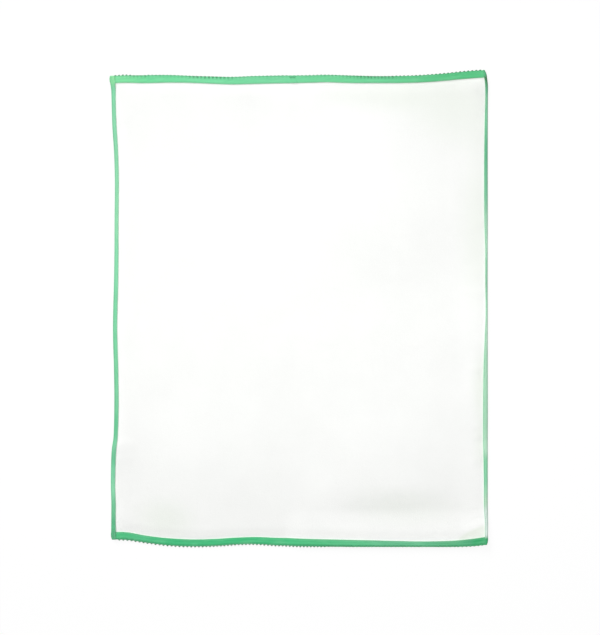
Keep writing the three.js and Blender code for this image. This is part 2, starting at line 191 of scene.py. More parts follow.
# Small puckers that run in from the edges, where the sewing draws the cloth in.
PUCKERS = table(
    "s t long wide turn height",
    (284, -96, 20, 9, 8, 0.45),
    (283, -188, 24, 9, -12, 0.4),
    (285, -203, 18, 8, 6, 0.4),
    (284, -240, 22, 10, 14, 0.35),
    (281, 24, 34, 10, -16, 0.4),
    (-281, -218, 24, 11, -10, 0.4),
    (-283, -246, 18, 10, 12, 0.25),
    (-283, 60, 20, 11, 6, 0.2),
    (284, 130, 20, 9, 10, 0.25),
    (272, -348, 34, 13, 20, 0.25),
    (-92, 351, 9, 18, 4, 0.25),
    (-12, 350, 9, 20, -8, 0.3),
    (110, 350, 10, 22, 6, 0.25),
)

# Patches of painted shade, where the cloth is painted a little darker and greener: middle, half
# length, half width, turn in degrees and how much.
PAINTED_SHADE = table(
    "s t long wide turn height",
    (240, 330, 160, 90, -30, 0.7),
    (285, 130, 170, 46, 90, 0.6),
    (298, -125, 84, 34, 90, 1.0),
    (298, -215, 60, 30, 90, 0.7),
    (-214, -334, 64, 46, 0, 0.7),
    (165, -312, 120, 42, -2, 0.4),
    (278, -359, 42, 13, 22, 2.5),
    (120, 342, 110, 34, -5, 0.5),
)

# How the picots lie, from left to right along the top and the bottom: how far they reach out, as a
# share of their full reach, how far they are curled over the face of the tape, in degrees, and how
# much paler their yarn is, with less of the painted shade that its dark colour carries.
PICOT_LIE = table(
    "s top top_curl top_fade bottom bottom_curl bottom_fade",
    (-292, 0.6, 10, 0.4, 0.6, 10, 0.4),
    (-284, 0.9, 5, 0.3, 1.05, 10, 0.2),
    (-268, 0.9, 15, 0.3, 1.05, 10, 0.1),
    (-260, 0.5, 150, 0.8, 1.05, 5, 0.1),
    (-244, 0.6, 155, 0.8, 1.05, 5, 0.0),
    (-236, 0.6, 20, 0.5, 1.05, 5, 0.0),
    (-226, 0.35, 30, 0.7, 1.15, 10, 0.0),
    (-175, 0.35, 60, 0.8, 1.2, 0, 0.0),
    (-163, 0.9, 155, 0.25, 1.2, 0, 0.0),
    (-132, 0.9, 155, 0.25, 1.2, 0, 0.0),
    (-118, 0.6, 150, 0.5, 1.25, 10, 0.0),
    (-100, 0.35, 50, 0.7, 1.25, 10, 0.0),
    (-34, 0.4, 30, 0.7, 1.25, 15, 0.0),
    (-24, 0.6, 15, 0.5, 1.25, 10, 0.0),
    (-12, 0.35, 30, 0.7, 1.25, 15, 0.0),
    (12, 0.6, 10, 0.6, 1.2, 20, 0.0),
    (38, 0.5, 20, 0.6, 1.0, 60, 0.2),
    (52, 0.4, 40, 0.7, 0.6, 150, 0.3),
    (72, 0.35, 60, 0.7, 0.5, 150, 0.4),
    (84, 0.35, 80, 0.6, 0.2, 60, 0.7),
    (120, 0.8, 150, 0.3, 0.1, 20, 0.9),
    (144, 0.8, 150, 0.2, 0.1, 20, 0.9),
    (160, 0.6, 30, 0.1, 0.1, 20, 0.9),
    (240, 0.7, 10, 0.1, 0.1, 20, 0.9),
    (256, 0.75, 5, 0.0, 0.45, 20, 0.6),
    (292, 0.75, 5, 0.0, 0.5, 10, 0.4),
)

# Distance between the picots along the top and the bottom, and where the first of them stands.
PICOT_STEP = table(
    "s top bottom",
    (-300, 5.8, 6.4),
    (-190, 6.0, 6.3),
    (-130, 6.2, 5.7),
    (-60, 6.2, 5.9),
    (20, 6.1, 5.5),
    (75, 5.7, 5.8),
    (125, 5.5, 6.1),
    (170, 6.3, 6.3),
    (300, 6.4, 6.3),
)
PICOT_START = {"top": -290.0, "bottom": -286.7}

# Colours of each tape from one end to the other: the share along it, the colour there and how much
# its two edges differ from that, which sets the strength of the painted shade and light of EDGES. Some
# darker stops are painted shade, where small folds and the folded corners lie in shade.
TONES = {
    "top": (
        (0.02, "131 227 164", 0.3), (0.13, "116 220 159", 0.4), (0.24, "123 222 164", 0.3),
        (0.45, "119 215 160", 0.4), (0.6, "115 214 155", 0.4), (0.72, "109 208 151", 0.8),
        (0.83, "96 200 138", 0.3), (0.95, "88 197 132", 0.3),
    ),
    "bottom": (
        (0.02, "78 200 133", 0.7), (0.09, "89 198 140", 0.6), (0.13, "66 191 126", 0.2),
        (0.42, "70 196 130", 0.2), (0.55, "84 194 132", 0.8), (0.65, "97 196 141", 1.0),
        (0.74, "104 190 144", 1.0), (0.82, "102 187 142", 0.9), (0.9, "96 182 133", 0.9),
        (0.95, "82 170 123", 0.6), (0.97, "58 168 108", 0.3),
    ),
    "left": (
        (0.01, "92 178 130", 0.6), (0.03, "94 184 137", 0.5), (0.06, "108 192 146", 0.5),
        (0.11, "146 223 181", 0.5), (0.145, "132 218 174", 0.5), (0.17, "116 204 159", 0.6),
        (0.2, "129 211 168", 0.6), (0.25, "106 201 151", 0.6), (0.31, "132 213 168", 0.8),
        (0.37, "126 214 165", 0.8), (0.45, "126 215 167", 0.7), (0.6, "140 223 177", 0.6),
        (0.69, "153 225 181", 0.5), (0.8, "148 222 178", 0.6), (0.9, "142 220 178", 0.8),
        (0.972, "140 222 177", 0.7), (0.985, "148 230 168", 0.5),
    ),
    "right": (
        (0.011, "56 164 106", 0.0), (0.021, "217 231 225", 0.0), (0.065, "217 231 225", 0.0),
        (0.09, "186 225 196", 0.1), (0.115, "164 222 186", 0.1), (0.135, "142 215 174", 0.1),
        (0.175, "146 217 175", 0.1), (0.2, "192 231 205", 0.1), (0.25, "172 221 189", 0.2),
        (0.38, "174 222 191", 0.2), (0.46, "187 225 200", 0.1), (0.51, "172 220 190", 0.1),
        (0.55, "142 195 163", 0.2), (0.59, "150 206 173", 0.1), (0.63, "176 222 193", 0.1),
        (0.67, "173 219 191", 0.1), (0.75, "121 193 155", 0.2), (0.83, "104 185 143", 0.2),
        # The last stops, from 0.957 on, are painted shade at the fold of the top right corner.
        (0.89, "122 197 155", 0.2), (0.94, "132 198 160", 0.2), (0.957, "104 176 138", 0.5),
        (0.972, "88 154 112", 0.8), (0.983, "72 114 80", 1.0), (0.99, "90 178 128", 1.0),
    ),
}

# Painted shade and painted light on the outer and the inner edge of each tape, as on rolled edges and
# folds: darker along the end tapes' outer edges and the left tape's outer half, greyer along the end
# tapes' inner edges, lighter on the side tapes' inner halves and the right tape's outer side. For each:
# the colour, its strength where the edges do not differ, what it gains where they do, and the share of
# the width that it covers.
EDGES = {
    "top": (("tape_outer_shade", 0.02, 0.15, 0.3), ("tape_inner_shade", 0.1, 0.4, 0.25)),
    "bottom": (("tape_outer_shade", 0.42, 0.5, 0.5), ("tape_inner_shade", 0.1, 0.4, 0.25)),
    "left": (("tape_painted_shade", 0.0, 0.8, 0.65), ("tape_faded_and_lit", 0.2, 0.15, 0.35)),
    "right": (("tape_faded_and_lit", 0.35, -0.3, 0.4), ("tape_faded_and_lit", 0.2, 0.15, 0.35)),
}
WHITE = (1.0, 1.0, 1.0, 1.0)
BLACK = (0.0, 0.0, 0.0, 1.0)


# ---- The lie of the cloth ----


def between(columns, key, column, place):
    """One column of a table at places between its rows, on a smooth curve through them."""
    keys = columns[key]
    values = columns[column]
    index = np.arange(len(keys))
    before = np.maximum(index - 1, 0)
    after = np.minimum(index + 1, len(keys) - 1)
    slope = (values[after] - values[before]) / (keys[after] - keys[before])
    at = np.clip(place, keys[0], keys[-1])
    row = np.clip(np.searchsorted(keys, at) - 1, 0, len(keys) - 2)
    span = keys[row + 1] - keys[row]
    f = (at - keys[row]) / span
    rise = f * f * (3 - 2 * f)
    leave = f * (1 - f) ** 2 * span * slope[row]
    arrive = f * f * (f - 1) * span * slope[row + 1]
    return values[row] + (values[row + 1] - values[row]) * rise + leave + arrive


def ease(value):
    """From 0 to 1 on a soft curve as value goes from 0 to 1, and level outside."""
    f = np.clip(value, 0, 1)
    return f * f * (3 - 2 * f)


def edge_lift(columns, key, column, place, distance, reach):
    """What an edge's lift adds at a distance in from it."""
    left = np.clip(1 - distance / reach, 0, None) ** LIFT_CURVE
    return np.maximum(between(columns, key, column, place), 0) * left


def mounds(rows, s, t):
    """The height of a table of low oval mounds at points of the pattern."""
    total = np.zeros(np.broadcast(s, t).shape)
    for i, height in enumerate(rows["height"]):
        turn = math.radians(rows["turn"][i])
        across = s - rows["s"][i]
        along = t - rows["t"][i]
        u = (across * math.cos(turn) + along * math.sin(turn)) / rows["long"][i]
        v = (along * math.cos(turn) - across * math.sin(turn)) / rows["wide"][i]
        total = total + height * np.clip(1 - u * u - v * v, 0, None) ** 2
    return total


def folds(s, t):
    """The height of the folds at points of the pattern."""
    total = np.zeros(np.broadcast(s, t).shape)
    for i, height in enumerate(FOLDS["height"]):
        row = {name: values[i] for name, values in FOLDS.items()}
        run = complex(row["to_s"] - row["s"], row["to_t"] - row["t"])
        length = abs(run)
        across, up = s - row["s"], t - row["t"]
        share = (across * run.real + up * run.imag) / length**2
        beyond = (up * run.real - across * run.imag) / length
        off = (beyond + np.hypot(beyond, FOLD_SOFT)) / 2
        ends = ease(share / row["rise"]) * ease((1 - share) / row["fade"])
        crest = np.sin(math.pi / 2 * np.minimum(off / row["steep"], 1))
        total = total + height * ends * crest * ease(1 - (off - row["steep"]) / row["gentle"])
    return total


def lift(s, t):
    """How far the cloth stands off the surface, apart from the tape under its sides."""
    left = edge_lift(SIDES, "t", "left_lift", t, WIDTH / 2 + s, SIDE_REACH)
    right = edge_lift(SIDES, "t", "right_lift", t, WIDTH / 2 - s, SIDE_REACH)
    bottom = edge_lift(ENDS, "s", "bottom_lift", s, LENGTH / 2 + t, END_REACH)
    top = edge_lift(ENDS, "s", "top_lift", s, LENGTH / 2 - t, END_REACH)
    hems = np.maximum(left, right) + np.maximum(bottom, top)
    return hems + mounds(SWELLS, s, t) + folds(s, t)


def side_face(side, t):
    """Width of a side tape on the face. side is -1 on the left and 1 on the right."""
    return np.where(side < 0, between(SIDES, "t", "left_face", t), between(SIDES, "t", "right_face", t))


def end_face(end, s):
    """Width of an end tape. end is -1 at the bottom and 1 at the top."""
    return np.where(end < 0, between(ENDS, "s", "bottom_face", s), between(ENDS, "s", "top_face", s))


def pattern_shift():
    """The frame's origin is under the middle of the outline, a little off the pattern's middle."""
    low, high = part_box("binding_tape_left")
    fold = -WIDTH / 2 - SIDES["left"].max()
    inner = SIDES["left_face"][-1] - WIDTH / 2
    corner = LENGTH / 2 + between(ENDS, "s", "top", inner)
    return low.x / MM - fold, high.y / MM - corner


SHIFT_X, SHIFT_Y = pattern_shift()


def lay(s, t, z):
    """Points of the pattern where they lie, in metres in the towel's frame, as rows of x, y, z."""
    across = s / WIDTH + 0.5
    along = t / LENGTH + 0.5
    left = between(SIDES, "t", "left", t)
    right = between(SIDES, "t", "right", t)
    bottom = between(ENDS, "s", "bottom", s)
    top = between(ENDS, "s", "top", s)
    x = s - left * (1 - across) + right * across + SHIFT_X
    y = t - bottom * (1 - along) + top * along + SHIFT_Y
    return np.stack(np.broadcast_arrays(x, y, z + lift(s, t)), axis=-1) * MM


def ride_at(s, t):
    """Height of the cloth on the under leg of a side tape, before any lift."""
    face = side_face(np.sign(s), t)
    shoulder = np.maximum(face + PRESS_END, SIDE_LEGS - face + LEG_CLEAR)
    return RIDE * ease((shoulder + LANDING - WIDTH / 2 + np.abs(s)) / LANDING)


def stack_height(side, t):
    """Room for the ends of the top and bottom tapes under the side tapes, which lie over them."""
    past_bottom = LENGTH / 2 + t - end_face(-1, side * WIDTH / 2) - STEP_PAST
    past_top = LENGTH / 2 - t - end_face(1, side * WIDTH / 2) - STEP_PAST
    return (TAPE + TOUCH) * (1 - ease(np.minimum(past_bottom, past_top) / STEP_RUN))


def lap_height(s, end):
    """How much higher the top tape is where its ends overlap."""
    if end < 0:
        return 0 * s
    up = ease((s - LAP_FROM + LAP_RAMP) / LAP_RAMP)
    down = ease((LAP_TO + LAP_RAMP - s) / LAP_RAMP)
    return LAP_HEIGHT * up * down


def rough(s, t, size, seed):
    """Smooth chance heights from about -1 to 1 over the pattern, with bumps of about one size."""
    s, t = np.broadcast_arrays(s, t)
    points = zip(s.ravel() / size, t.ravel() / size)
    return np.array([noise.noise(Vector((a, b, seed))) for a, b in points]).reshape(s.shape)


# ---- Making meshes ----


def add_object(name, data):
    """A new object in the scene."""
    added = bpy.data.objects.new(name, data)
    bpy.context.scene.collection.objects.link(added)
    return added


def add_layer(mesh, name, values):
    """Keeps a number or a vector for each point of a mesh as a named attribute."""
    kind, field = ("FLOAT", "value") if values.ndim == 1 else ("FLOAT_VECTOR", "vector")
    layer = mesh.attributes.new(name, kind, "POINT")
    layer.data.foreach_set(field, values.astype(np.float32).ravel())


def make_piece(name, points, faces):
    """A smooth mesh object whose faces point out."""
    mesh = bpy.data.meshes.new(name)
    mesh.from_pydata(points.tolist(), [], faces)
    mesh.shade_smooth()
    mesh.calc_loop_triangles()
    corners = np.zeros(len(mesh.loop_triangles) * 3, np.int32)
    mesh.loop_triangles.foreach_get("vertices", corners)
    a, b, c = points[corners.reshape(-1, 3)].transpose(1, 0, 2)
    if np.einsum("ij,ij", a, np.cross(b, c)) < 0:
        mesh.flip_normals()
    return add_object(name, mesh)


def loft(name, rings):
    """A closed solid through rings of points, each ring closed on itself."""
    count, size = rings.shape[:2]
    faces = []
    for ring in range(count - 1):
        start = ring * size
        for i in range(size):
            j = (i + 1) % size
            faces.append((start + i, start + j, start + size + j, start + size + i))
    faces.append(tuple(reversed(range(size))))
    faces.append(tuple(range((count - 1) * size, count * size)))
    return make_piece(name, rings.reshape(-1, 3), faces)


def place_piece(piece, slot, *nodes):
    """Hands a finished piece to the frame, in place of nodes."""
    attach(piece, BODY)
    if nodes:
        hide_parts(*nodes)


# ---- Node trees ----


def operators(operation):
    """The plain and the reflected form of an operator on wires."""

    def plain(wire, value):
        return wire.math(operation, wire, value)

    def reflected(wire, value):
        return wire.math(operation, value, wire)

    return plain, reflected


class Wire:
    """An output of a node. Arithmetic on it adds Math nodes."""

    __add__, __radd__ = operators("ADD")
    __sub__, __rsub__ = operators("SUBTRACT")
    __mul__, __rmul__ = operators("MULTIPLY")
    __truediv__, __rtruediv__ = operators("DIVIDE")
    __pow__, __rpow__ = operators("POWER")

    def __init__(self, graph, socket):
        self.graph = graph
        self.socket = socket

    def math(self, operation, *values):
        """A Math node of one operation on wires and numbers."""
        return self.graph.node("ShaderNodeMath", dict(enumerate(values)), operation=operation)

    def other(self, name):
        """Another output of the same node."""
        return Wire(self.graph, self.graph.find(self.socket.node.outputs, name))

    def sine(self):
        """The sine of an angle in radians."""
        return self.math("SINE", self)

    def ramp(self, low, high):
        """From 0 at low to 1 at high on a soft curve, and level outside."""
        sockets = {"Value": self, "From Min": low, "From Max": high}
        return self.graph.node("ShaderNodeMapRange", sockets, interpolation_type="SMOOTHSTEP")


class Graph:
    """A node tree that is being built."""

    def __init__(self, tree):
        self.tree = tree

    def find(self, sockets, key):
        """A socket by its number, its identifier or its name."""
        if isinstance(key, int):
            return sockets[key]
        for socket in sockets:
            if socket.identifier == key:
                return socket
        return sockets[key]

    def node(self, kind, sockets=None, output=0, **settings):
        """Adds a node, sets its settings, then gives its inputs values or links."""
        node = self.tree.nodes.new(kind)
        for name, value in settings.items():
            setattr(node, name, value)
        for key, value in (sockets or {}).items():
            socket = self.find(node.inputs, key)
            if isinstance(value, Wire):
                self.tree.links.new(value.socket, socket)
            else:
                socket.default_value = value
        if not node.outputs:
            return None
        return Wire(self, self.find(node.outputs, output))

    def mix(self, share, first, second):
        """A colour between two, at a share from 0 to 1."""
        sockets = {"Factor_Float": share, "A_Color": first, "B_Color": second}
        return self.node("ShaderNodeMix", sockets, "Result_Color", data_type="RGBA")

    def noise(self, place, scale, detail=2.0):
        """Smooth chance values from 0 to 1, with scale bumps to a unit of place."""
        sockets = {"Vector": place, "Scale": scale, "Detail": detail}
        return self.node("ShaderNodeTexNoise", sockets, "Fac")

    def bump(self, strength, depth, height):
        """The surface's direction on bumps of a height from 0 to 1 and a depth in metres."""
        sockets = {"Strength": strength, "Distance": depth, "Height": height}
        return self.node("ShaderNodeBump", sockets)

    def vector(self, x, y, z=0.0):
        """A vector of three numbers or wires."""
        return self.node("ShaderNodeCombineXYZ", {"X": x, "Y": y, "Z": z})


def rgb(text):
    """A colour written as red, green and blue from 0 to 255 on the screen, as linear values."""
    values = [int(part) / 255 for part in text.split()]
    linear = [v / 12.92 if v <= 0.04045 else ((v + 0.055) / 1.055) ** 2.4 for v in values]
    return (*linear, 1.0)


def start_material(name):
    """A new material with an empty tree, and the graph to build it with."""
    material = bpy.data.materials.new(name)
    material.use_nodes = True
    material.node_tree.nodes.clear()
    return material, Graph(material.node_tree)


def finish_material(graph, colour, roughness, normal, specular):
    """Joins a finish to the surface. specular is a plain number."""
    sockets = {"Base Color": colour, "Roughness": roughness, "Normal": normal}
    sockets["Specular IOR Level"] = specular
    shader = graph.node("ShaderNodeBsdfPrincipled", sockets)
    graph.node("ShaderNodeOutputMaterial", {"Surface": shader})


def towelling():
    """White towelling with a fine short pile of loops."""
    look = bpy.context.scene.towel_colours
    sizes = bpy.context.scene.towel_sizes
    material, graph = start_material("white_towelling")
    place = graph.node("ShaderNodeTexCoord", output="Object")
    pile = 1 / sizes.pile_pitch
    sockets = {"Vector": place, "Scale": pile, "Smoothness": 0.35, "Randomness": 0.75}
    loop = 1 - graph.node("ShaderNodeTexVoronoi", sockets, "Distance", feature="SMOOTH_F1") ** 2
    fibre = graph.noise(place, pile * 4)
    brushed = graph.noise(place, pile * 0.16)
    patch = graph.noise(place, 14.0, 3.0)
    height = loop + fibre * 0.3 + brushed * 0.7
    normal = graph.bump(0.5, sizes.pile_height, height)
    # The duller patches are random tone; the part from the loops is painted shade, darker in the
    # hollows between the pile's loops.
    shade = patch.ramp(0.3, 0.7) * 0.5 + loop.ramp(0.5, 0.95) * 0.5
    colour = graph.mix(shade, look.cloth_dull_and_shaded, look.cloth)
    # Painted shade: darker, greener patches of the cloth, from the attribute the cloth piece keeps.
    painted_shade = graph.node("ShaderNodeAttribute", output="Fac", attribute_name="painted_shade")
    colour = graph.mix(painted_shade, colour, look.cloth_painted_shade)
    finish_material(graph, colour, 0.9 + fibre * 0.08, normal, 0.1)
    return material


def tape_finish(word, length):
    """Woven tape of a length, with the colours that TONES and EDGES give it."""
    look = bpy.context.scene.towel_colours
    sizes = bpy.context.scene.towel_sizes
    stops = TONES[word]
    material, graph = start_material(word + "_weave")
    weave = graph.node("ShaderNodeAttribute", output="Vector", attribute_name="weave")
    along = graph.node("ShaderNodeSeparateXYZ", {"Vector": weave})
    across, inward = along.other("Y"), along.other("Z")
    share = along / length + 0.5
    colour, differ = rgb(stops[0][1]), stops[0][2]
    for (start, _, before), (stop, following, after) in zip(stops, stops[1:]):
        step = share.ramp(start, stop)
        colour = graph.mix(step, colour, rgb(following))
        differ = differ + step * (after - before)
    # Painted shade and light along the tape's edges, as EDGES gives them.
    for inner, (tint, least, gain, reach) in enumerate(EDGES[word]):
        near = inward.ramp(1 - reach, 1.0) if inner else 1 - inward.ramp(0.0, reach)
        colour = graph.mix(near * (least + differ * gain), colour, getattr(look, tint))
    streaks = graph.noise(graph.vector(along * 9, across * 1100), 1.0)
    fade = graph.noise(graph.vector(along * 28, across * 90), 1.0)
    slant = graph.noise(graph.vector(along * 70 + across * 260, across * 90), 1.0, 1.0)
    # Painted shade: darker streaks and slants, the shade of soft creases along the tape. Paler patches
    # are random tone.
    colour = graph.mix(streaks.ramp(0.42, 0.72) * 0.2, colour, look.tape_painted_shade)
    colour = graph.mix(slant.ramp(0.5, 0.75) * 0.16, colour, look.tape_painted_shade)
    colour = graph.mix(fade.ramp(0.45, 0.8) * 0.22, colour, look.tape_faded_and_lit)
    ribs = (along * (2 * math.pi / sizes.rib_pitch)).sine()
    threads = (across * (2 * math.pi / (sizes.rib_pitch * 1.2))).sine()
    height = ribs * 0.16 + threads * 0.2 + streaks * 0.8
    normal = graph.bump(0.4, 0.00018, height)
    finish_material(graph, colour, 0.62 + streaks * 0.2, normal, 0.25)
    return material


def yarn_finish(name, colour, shade, twist):
    """Twisted yarn or thread, with painted shade as slightly darker lines round it in the grooves
    between its plies, one for each length of twist. Where its tone attribute is 1 it has the second
    colour, shade."""
    material, graph = start_material(name)
    place = graph.node("ShaderNodeTexCoord", output="Object")
    fibre = graph.noise(place, 2600.0)
    parts = graph.node("ShaderNodeSeparateXYZ", {"Vector": place})
    plies = ((parts + parts.other("Y") * 0.8) * (2 * math.pi / twist) + fibre * 2).sine()
    tone = graph.node("ShaderNodeAttribute", output="Fac", attribute_name="tone")
    base = graph.mix(tone, colour, shade)
    painted_groove_shade = graph.mix(0.25, base, BLACK)
    tint = graph.mix(plies.ramp(-0.8, 0.4), painted_groove_shade, base)
    normal = graph.bump(0.4, 0.0001, plies * 0.5 + fibre)
    finish_material(graph, tint, 0.75 + fibre * 0.2, normal, 0.2)
    return material


# ---- Rows of stitches and picots, by Geometry Nodes ----


def start_tree(name, numbers):
    """A new geometry tree. numbers are its named inputs with their defaults."""
    tree = bpy.data.node_groups.new(name, "GeometryNodeTree")
    sockets = tree.interface
    sockets.new_socket("Geometry", in_out="INPUT", socket_type="NodeSocketGeometry")
    for title, default in numbers.items():
        socket = sockets.new_socket(title, in_out="INPUT", socket_type="NodeSocketFloat")
        socket.default_value = default
    sockets.new_socket("Seed", in_out="INPUT", socket_type="NodeSocketInt")
    sockets.new_socket("Material", in_out="INPUT", socket_type="NodeSocketMaterial")
    sockets.new_socket("Geometry", in_out="OUTPUT", socket_type="NodeSocketGeometry")
    graph = Graph(tree)
    return tree, graph, graph.node("NodeGroupInput")


def finish_tree(graph, given, geometry):
    """Ends a tree: instances become real meshes with the material."""
    real = graph.node("GeometryNodeRealizeInstances", {"Geometry": geometry})
    smooth = graph.node("GeometryNodeSetShadeSmooth", {"Geometry": real})
    sockets = {"Geometry": smooth, "Material": given.other("Material")}
    done = graph.node("GeometryNodeSetMaterial", sockets)
    graph.node("NodeGroupOutput", {"Geometry": done})


def thread_tube(graph, curve, radius, sides):
    """A thread of a radius along a curve, closed at its ends."""
    sockets = {"Resolution": sides, "Radius": radius}
    ring = graph.node("GeometryNodeCurvePrimitiveCircle", sockets, mode="RADIUS")
    sockets = {"Curve": curve, "Profile Curve": ring, "Fill Caps": True}
    return graph.node("GeometryNodeCurveToMesh", sockets)


def named(graph, name, kind="FLOAT"):
    """A named attribute of the path."""
    sockets = {"Name": name}
    return graph.node("GeometryNodeInputNamedAttribute", sockets, "Attribute", data_type=kind)


def chance(graph, low, high, given, step):
    """A number by chance for each place, between two limits."""
    seed = given.other("Seed") + step
    sockets = {"Min_001": low, "Max_001": high, "Seed": seed}
    return graph.node("FunctionNodeRandomValue", sockets, "Value_001", data_type="FLOAT")


def turn_to(graph, axis, pivot, vector, rotation=None):
    """A rotation whose axis points along a vector."""
    sockets = {"Vector": vector}
    if rotation is not None:
        sockets["Rotation"] = rotation
    return graph.node("FunctionNodeAlignRotationToVector", sockets, axis=axis, pivot_axis=pivot)


def put_on(graph, places, item, rotation, scale=(1.0, 1.0, 1.0)):
    """Puts an item on every one of the places."""
    sockets = {"Points": places, "Instance": item, "Rotation": rotation, "Scale": scale}
    return graph.node("GeometryNodeInstanceOnPoints", sockets)


def turned(graph, rotation, x, y, z):
    """A rotation with a further turn about its own axes."""
    euler = graph.node("FunctionNodeEulerToRotation", {0: graph.vector(x, y, z)})
    sockets = {"Rotation": rotation, "Rotate By": euler}
    return graph.node("FunctionNodeRotateRotation", sockets, rotation_space="LOCAL")


def bezier(graph, resolution, start, first, second, end):
    """A curve through four control points, each given as x, y and z."""
    points = {"Start": start, "Start Handle": first, "End Handle": second, "End": end}
    sockets = {key: graph.vector(*place) for key, place in points.items()}
    sockets["Resolution"] = resolution
    return graph.node("GeometryNodeCurvePrimitiveBezierSegment", sockets, mode="POSITION")


def with_tone(graph, geometry, value):
    """Marks instances with the tone that their finish shows."""
    sockets = {"Geometry": geometry, "Name": "tone", "Value": value}
    return graph.node("GeometryNodeStoreNamedAttribute", sockets, domain="INSTANCE")


def joined(graph, *shapes):
    """Several shapes as one."""
    both = graph.node("GeometryNodeJoinGeometry")
    for shape in reversed(shapes):
        graph.tree.links.new(shape.socket, both.socket.node.inputs["Geometry"])
    return both


def stitch_tree():
    """A row of raised stitches along each line of the path."""
    numbers = {"Pitch": 0.003, "Stitch": 0.0025, "Thread": 0.0003}
    tree, graph, given = start_tree("stitch_row", numbers)
    half = given.other("Stitch") * 0.5
    radius = given.other("Thread") * 0.5
    sockets = {
        "Resolution": 6,
        "Start": graph.vector(half * -1, 0.0, radius * -1.2),
        "Middle": graph.vector(0.0, 0.0, radius * 2.2),
        "End": graph.vector(half, 0.0, radius * -1.2),
    }
    arc = graph.node("GeometryNodeCurveQuadraticBezier", sockets)
    stitch = thread_tube(graph, arc, radius, 6)
    upright = turn_to(graph, "Z", "AUTO", named(graph, "up", "FLOAT_VECTOR"))
    aimed = turn_to(graph, "X", "Z", graph.node("GeometryNodeInputTangent"), upright)
    slanted = turned(graph, aimed, 0.0, 0.0, chance(graph, -0.07, 0.07, given, 1))
    scale = graph.vector(chance(graph, 0.92, 1.04, given, 2), 1.0, 1.0)
    curve = graph.node("GeometryNodeMeshToCurve", {"Mesh": given.other("Geometry")})
    sockets = {"Curve": curve, "Length": given.other("Pitch")}
    places = graph.node("GeometryNodeResampleCurve", sockets, mode="LENGTH")
    finish_tree(graph, given, put_on(graph, places, stitch, slanted, scale))
    return tree


def picot_tree():
    """A row of picots along the path. Each is an arch of thick yarn that leans to one side, and two
    fine strands that run from it over the tape to a short bar."""
    numbers = {"Width": 0.0023, "Reach": 0.0015, "Yarn": 0.0012, "Bar": 0.0029}
    tree, graph, given = start_tree("picot_row", numbers)
    places = given.other("Geometry")
    foot = given.other("Width") * 0.5
    reach = given.other("Reach")
    radius = given.other("Yarn") * 0.5
    bar = given.other("Bar") * -1
    arc = bezier(
        graph,
        8,
        (foot * -1, radius * -0.6, 0.0),
        (foot * -0.8, reach * 0.55, radius * 0.4),
        (foot * 1.35, reach * 1.1, radius * 0.4),
        (foot, radius * -0.6, 0.0),
    )
    arch = thread_tube(graph, arc, radius, 6)
    out = named(graph, "out", "FLOAT_VECTOR")
    upright = turn_to(graph, "Z", "AUTO", named(graph, "up", "FLOAT_VECTOR"))
    aimed = turn_to(graph, "Y", "Z", out, upright)
    curl = named(graph, "curl") + chance(graph, -0.12, 0.12, given, 1)
    curled = turned(graph, aimed, curl, 0.0, chance(graph, -0.08, 0.08, given, 2))
    size = named(graph, "reach") * chance(graph, 0.88, 1.1, given, 3)
    # How much of the painted shade in the yarn's dark colour is taken off.
    fade = named(graph, "fade")
    arches = put_on(graph, places, arch, curled, graph.vector(1.0, size, 1.0))
    shapes = [with_tone(graph, arches, fade)]
    line = bezier(
        graph,
        3,
        (foot * -0.55, bar, radius * 0.1),
        (foot * -0.2, bar, radius * 0.6),
        (foot * 0.2, bar, radius * 0.6),
        (foot * 0.55, bar, radius * 0.1),
    )
    bars = put_on(graph, places, thread_tube(graph, line, radius * 0.4, 5), aimed)
    shapes.append(with_tone(graph, bars, fade * 0.8 + 0.2))
    strands = []
    for side in (-1, 1):
        line = bezier(
            graph,
            3,
            (foot * side * 0.5, bar, 0.0),
            (foot * side * 0.7, bar * 0.7, radius * 0.7),
            (foot * side * 1.1, bar * 0.3, radius * 0.7),
            (foot * side * 1.2, radius * 0.6, radius * -0.6),
        )
        strands.append(thread_tube(graph, line, radius * 0.27, 4))
    pairs = put_on(graph, places, joined(graph, *strands), aimed)
    shapes.append(with_tone(graph, pairs, 1.0))
    finish_tree(graph, given, joined(graph, *shapes))
    return tree


def thread_tree():
    """A single thread along each line of the path."""
    tree, graph, given = start_tree("loose_thread", {"Thread": 0.0004})
    curve = graph.node("GeometryNodeMeshToCurve", {"Mesh": given.other("Geometry")})
    finish_tree(graph, given, thread_tube(graph, curve, given.other("Thread") * 0.5, 6))
    return tree


def path_mesh(name, lines, layers):
    """Open lines of points as a mesh of edges. layers are attributes of the points."""
    edges = []
    start = 0
    for line in lines:
        edges += [(start + i, start + i + 1) for i in range(len(line) - 1)]
        start += len(line)
    mesh = bpy.data.meshes.new(name)
    mesh.from_pydata(np.concatenate(lines).tolist(), edges, [])
    for key, values in layers.items():
        add_layer(mesh, key, np.concatenate(values))
    return mesh


def grow(name, mesh, tree, inputs):
    """Runs a geometry tree on a path and keeps the result as a plain mesh object."""
    path = add_object(name + "_path", mesh)
    modifier = path.modifiers.new("grow", "NODES")
    modifier.node_group = tree
    for item in tree.interface.items_tree:
        if item.in_out == "INPUT" and item.name in inputs:
            modifier[item.identifier] = inputs[item.name]
    graph = bpy.context.evaluated_depsgraph_get()
    grown = bpy.data.meshes.new_from_object(path.evaluated_get(graph), depsgraph=graph)
    bpy.data.objects.remove(path)
    bpy.data.meshes.remove(mesh)
    grown.name = name
    return add_object(name, grown)


# ---- Settings ----


def size_property(name, description, millimetres):
    """A length that is given in millimetres and kept in metres."""
    return bpy.props.FloatProperty(
        name=name,
        description=description,
        default=millimetres * MM,
        min=0.0,
        precision=5,
        subtype="DISTANCE",
        unit="LENGTH",
    )


def colour_property(name, description, screen):
    """A colour that is given as it looks on the screen."""
    return bpy.props.FloatVectorProperty(
        name=name,
        description=description,
        default=rgb(screen),
        size=4,
        min=0.0,
        max=1.0,
        subtype="COLOR",
    )


